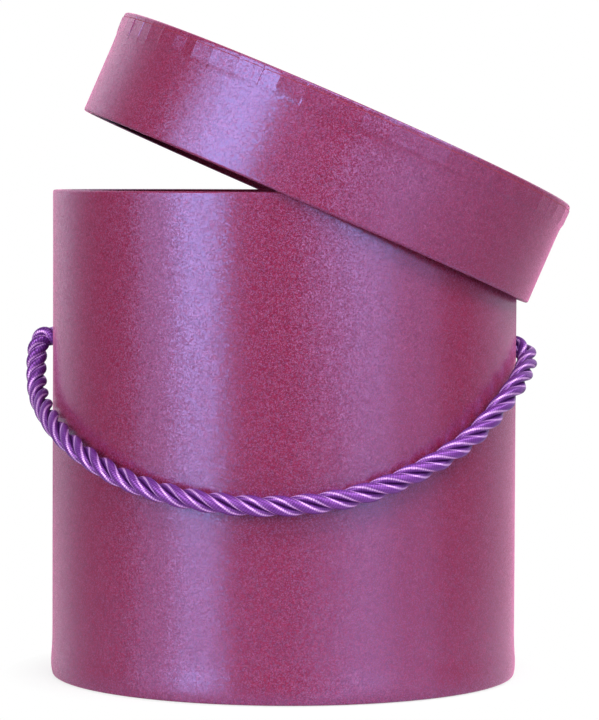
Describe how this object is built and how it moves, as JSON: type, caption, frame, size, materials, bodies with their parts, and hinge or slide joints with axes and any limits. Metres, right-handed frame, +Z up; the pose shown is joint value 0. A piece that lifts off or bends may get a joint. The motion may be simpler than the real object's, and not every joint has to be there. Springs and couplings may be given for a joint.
{
  "type": "flower gift box",
  "caption": "Round paper-covered gift box for flowers, with a deep lift-off lid and a twisted cord handle.",
  "frame": {"origin": "middle of the underside of the base", "axes": "+Z up along the axis of the box, X through the two cord holes, -Y towards the side where the cord hangs"},
  "size_m": [0.2111, 0.195, 0.256],
  "materials": {
    "pearl_paper": "raspberry paper with a violet pearl sheen",
    "lining_paper": "matt dark raspberry",
    "board": "plain grey-brown board",
    "cord": "twisted violet satin"
  },
  "bodies": {
    "box": {"wall_board": "board", "base_board": "board", "wall_wrap": "pearl_paper", "wall_lining": "lining_paper", "base_lining": "lining_paper", "base_cover": "lining_paper"},
    "lid": {"lid_rim_board": "board", "lid_top_board": "board", "lid_top_cover": "pearl_paper", "lid_rim_wrap": "pearl_paper", "lid_rim_lining": "lining_paper", "lid_top_lining": "lining_paper"},
    "handle": {"handle_cord": "cord", "left_knot": "cord", "right_knot": "cord"}
  },
  "joints": [
    {"name": "lid_lift", "type": "slide", "parent": "box", "child": "lid", "axis": [0, 0, 1], "range_m": [0, 0.15]},
    {"name": "handle_swing", "type": "hinge", "parent": "box", "child": "handle", "pos_m": [0, 0, 0.1295], "axis": [-0.9999, 0, 0.0111], "range_deg": [0, 40]}
  ]
}
